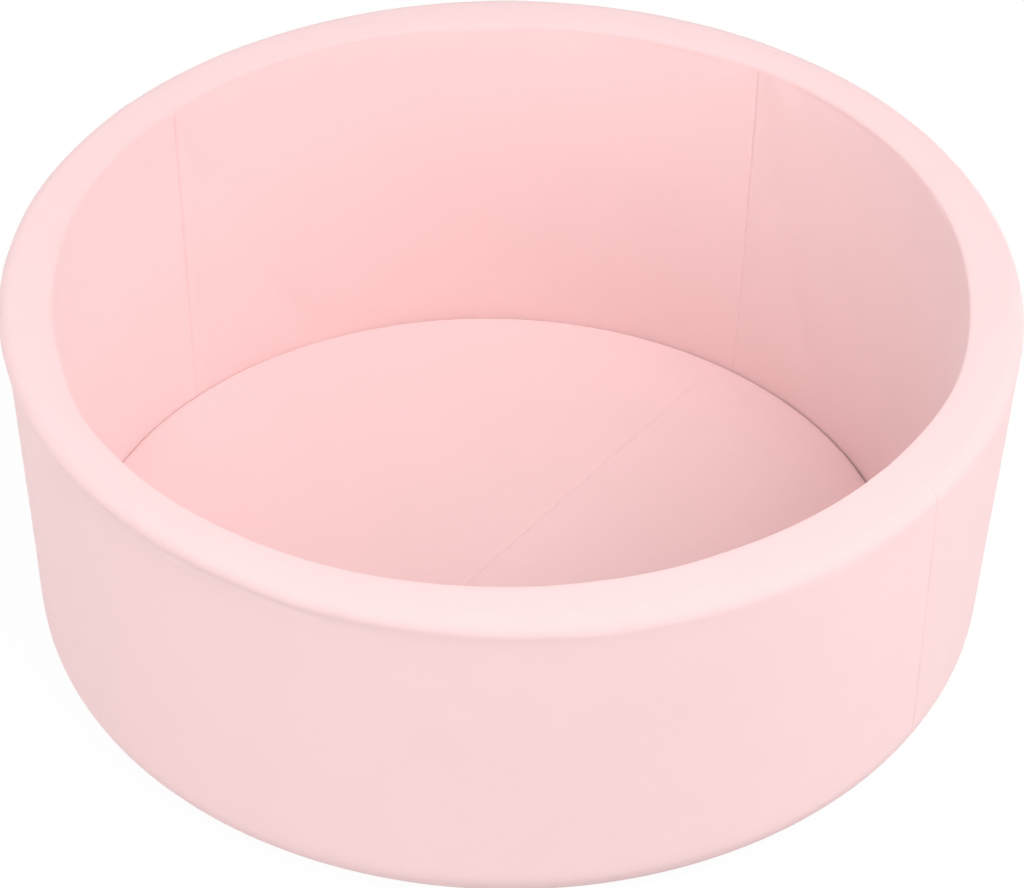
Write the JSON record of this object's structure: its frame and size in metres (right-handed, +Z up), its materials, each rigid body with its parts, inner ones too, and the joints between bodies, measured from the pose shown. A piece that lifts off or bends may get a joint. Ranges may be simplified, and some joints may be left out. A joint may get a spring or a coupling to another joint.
{
  "type": "ball pit",
  "caption": "Round soft foam ball pit with a sewn pink cloth cover, padded wall and floor, and a hidden zip round the bottom edge.",
  "frame": {"origin": "on the ground under the middle of the rim, at the middle of the base cover's flat underside", "axes": "+Z up out of the pit, -Y towards the front, +X to the right as seen from the front; the pit is round, so X and Y only fix where the seams lie"},
  "size_m": [0.9, 0.9, 0.346],
  "materials": {
    "cover_cloth": "matte",
    "foam": "matte",
    "zip_tape": "matte",
    "zip_coil": "satin",
    "zip_metal": "satin"
  },
  "bodies": {
    "pit": {"wall_cover_back": "cover_cloth", "wall_cover_front_left": "cover_cloth", "wall_cover_right": "cover_cloth", "floor_cover_back": "cover_cloth", "floor_cover_front": "cover_cloth", "base_cover": "cover_cloth", "wall_foam_back": "foam", "wall_foam_front_left": "foam", "wall_foam_right": "foam", "floor_foam": "foam", "zip_tape_upper": "zip_tape", "zip_tape_lower": "zip_tape", "zip_coil_upper": "zip_coil", "zip_coil_lower": "zip_coil", "zip_top_stop_upper": "zip_metal", "zip_top_stop_lower": "zip_metal", "zip_bottom_stop": "zip_metal"},
    "slider": {"zip_slider": "zip_metal"},
    "pull": {"zip_pull": "zip_metal"}
  },
  "joints": [
    {"name": "zip_run", "type": "hinge", "parent": "pit", "child": "slider", "pos_m": [0, 0, 0], "axis": [0, 0, 1], "range_deg": [-348, 0]},
    {"name": "pull_flip", "type": "hinge", "parent": "slider", "child": "pull", "pos_m": [0.0428, 0.39993, 0.00305], "axis": [0.0922, 0.8611, 0.5], "range_deg": [0, 170]}
  ]
}
